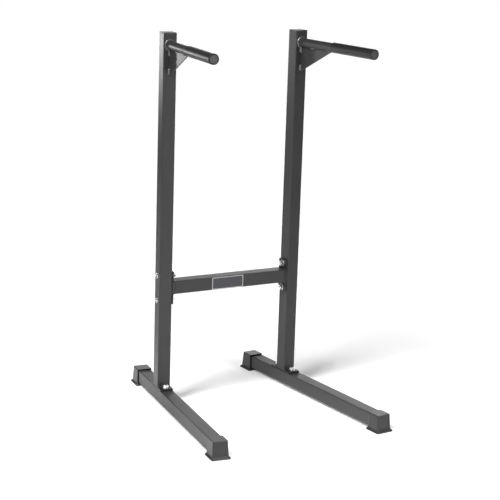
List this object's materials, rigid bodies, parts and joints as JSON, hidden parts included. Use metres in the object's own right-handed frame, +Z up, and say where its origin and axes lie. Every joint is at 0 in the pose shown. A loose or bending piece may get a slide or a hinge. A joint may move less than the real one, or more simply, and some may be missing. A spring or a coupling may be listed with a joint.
{
  "type": "dip station",
  "caption": "Free-standing dip station: toed-out square-tube side frames on booted base legs, a bolted crossbar and round gusseted handles with rubber grips.",
  "frame": {"origin": "on the floor, under the middle of the stand's length and width", "axes": "+Z up; the handles and the long base legs point to -Y; +X is the stand's right side seen from the front"},
  "size_m": [0.7368, 0.9006, 1.3913],
  "materials": {
    "frame_paint": "charcoal powder coat, satin, very fine texture",
    "boot_rubber": "moulded rubber, matt",
    "grip_rubber": "smooth rubber sleeve, low sheen",
    "plug_plastic": "moulded plastic disc, slightly domed",
    "cap_plastic": "moulded plastic, fine grain",
    "zinc": "bright zinc-plated steel",
    "nameplate": "plain dark plate with a silver edge, no lettering"
  },
  "bodies": {
    "root": {"base_tube_left": "frame_paint", "foot_plate_left": "frame_paint", "upright_left": "frame_paint", "top_cap_left": "cap_plastic", "handle_tube_left": "frame_paint", "handle_weld_left": "frame_paint", "grip_left": "grip_rubber", "grip_plug_left": "plug_plastic", "gusset_left": "frame_paint", "gusset_weld_left": "frame_paint", "boot_front_left": "boot_rubber", "boot_rear_left": "boot_rubber", "foot_bolt_left_front": "zinc", "foot_head_washer_left_front": "zinc", "foot_nut_washer_left_front": "zinc", "foot_nut_left_front": "zinc", "foot_bolt_left_rear": "zinc", "foot_head_washer_left_rear": "zinc", "foot_nut_washer_left_rear": "zinc", "foot_nut_left_rear": "zinc", "end_plate_left": "frame_paint", "crossbar_bolt_left_lower": "zinc", "crossbar_head_washer_left_lower": "zinc", "crossbar_nut_washer_left_lower": "zinc", "crossbar_nut_left_lower": "zinc", "crossbar_bolt_left_upper": "zinc", "crossbar_head_washer_left_upper": "zinc", "crossbar_nut_washer_left_upper": "zinc", "crossbar_nut_left_upper": "zinc", "base_tube_right": "frame_paint", "foot_plate_right": "frame_paint", "upright_right": "frame_paint", "top_cap_right": "cap_plastic", "handle_tube_right": "frame_paint", "handle_weld_right": "frame_paint", "grip_right": "grip_rubber", "grip_plug_right": "plug_plastic", "gusset_right": "frame_paint", "gusset_weld_right": "frame_paint", "boot_front_right": "boot_rubber", "boot_rear_right": "boot_rubber", "foot_bolt_right_front": "zinc", "foot_head_washer_right_front": "zinc", "foot_nut_washer_right_front": "zinc", "foot_nut_right_front": "zinc", "foot_bolt_right_rear": "zinc", "foot_head_washer_right_rear": "zinc", "foot_nut_washer_right_rear": "zinc", "foot_nut_right_rear": "zinc", "end_plate_right": "frame_paint", "crossbar_bolt_right_lower": "zinc", "crossbar_head_washer_right_lower": "zinc", "crossbar_nut_washer_right_lower": "zinc", "crossbar_nut_right_lower": "zinc", "crossbar_bolt_right_upper": "zinc", "crossbar_head_washer_right_upper": "zinc", "crossbar_nut_washer_right_upper": "zinc", "crossbar_nut_right_upper": "zinc", "crossbar": "frame_paint", "nameplate": "nameplate"}
  },
  "joints": []
}
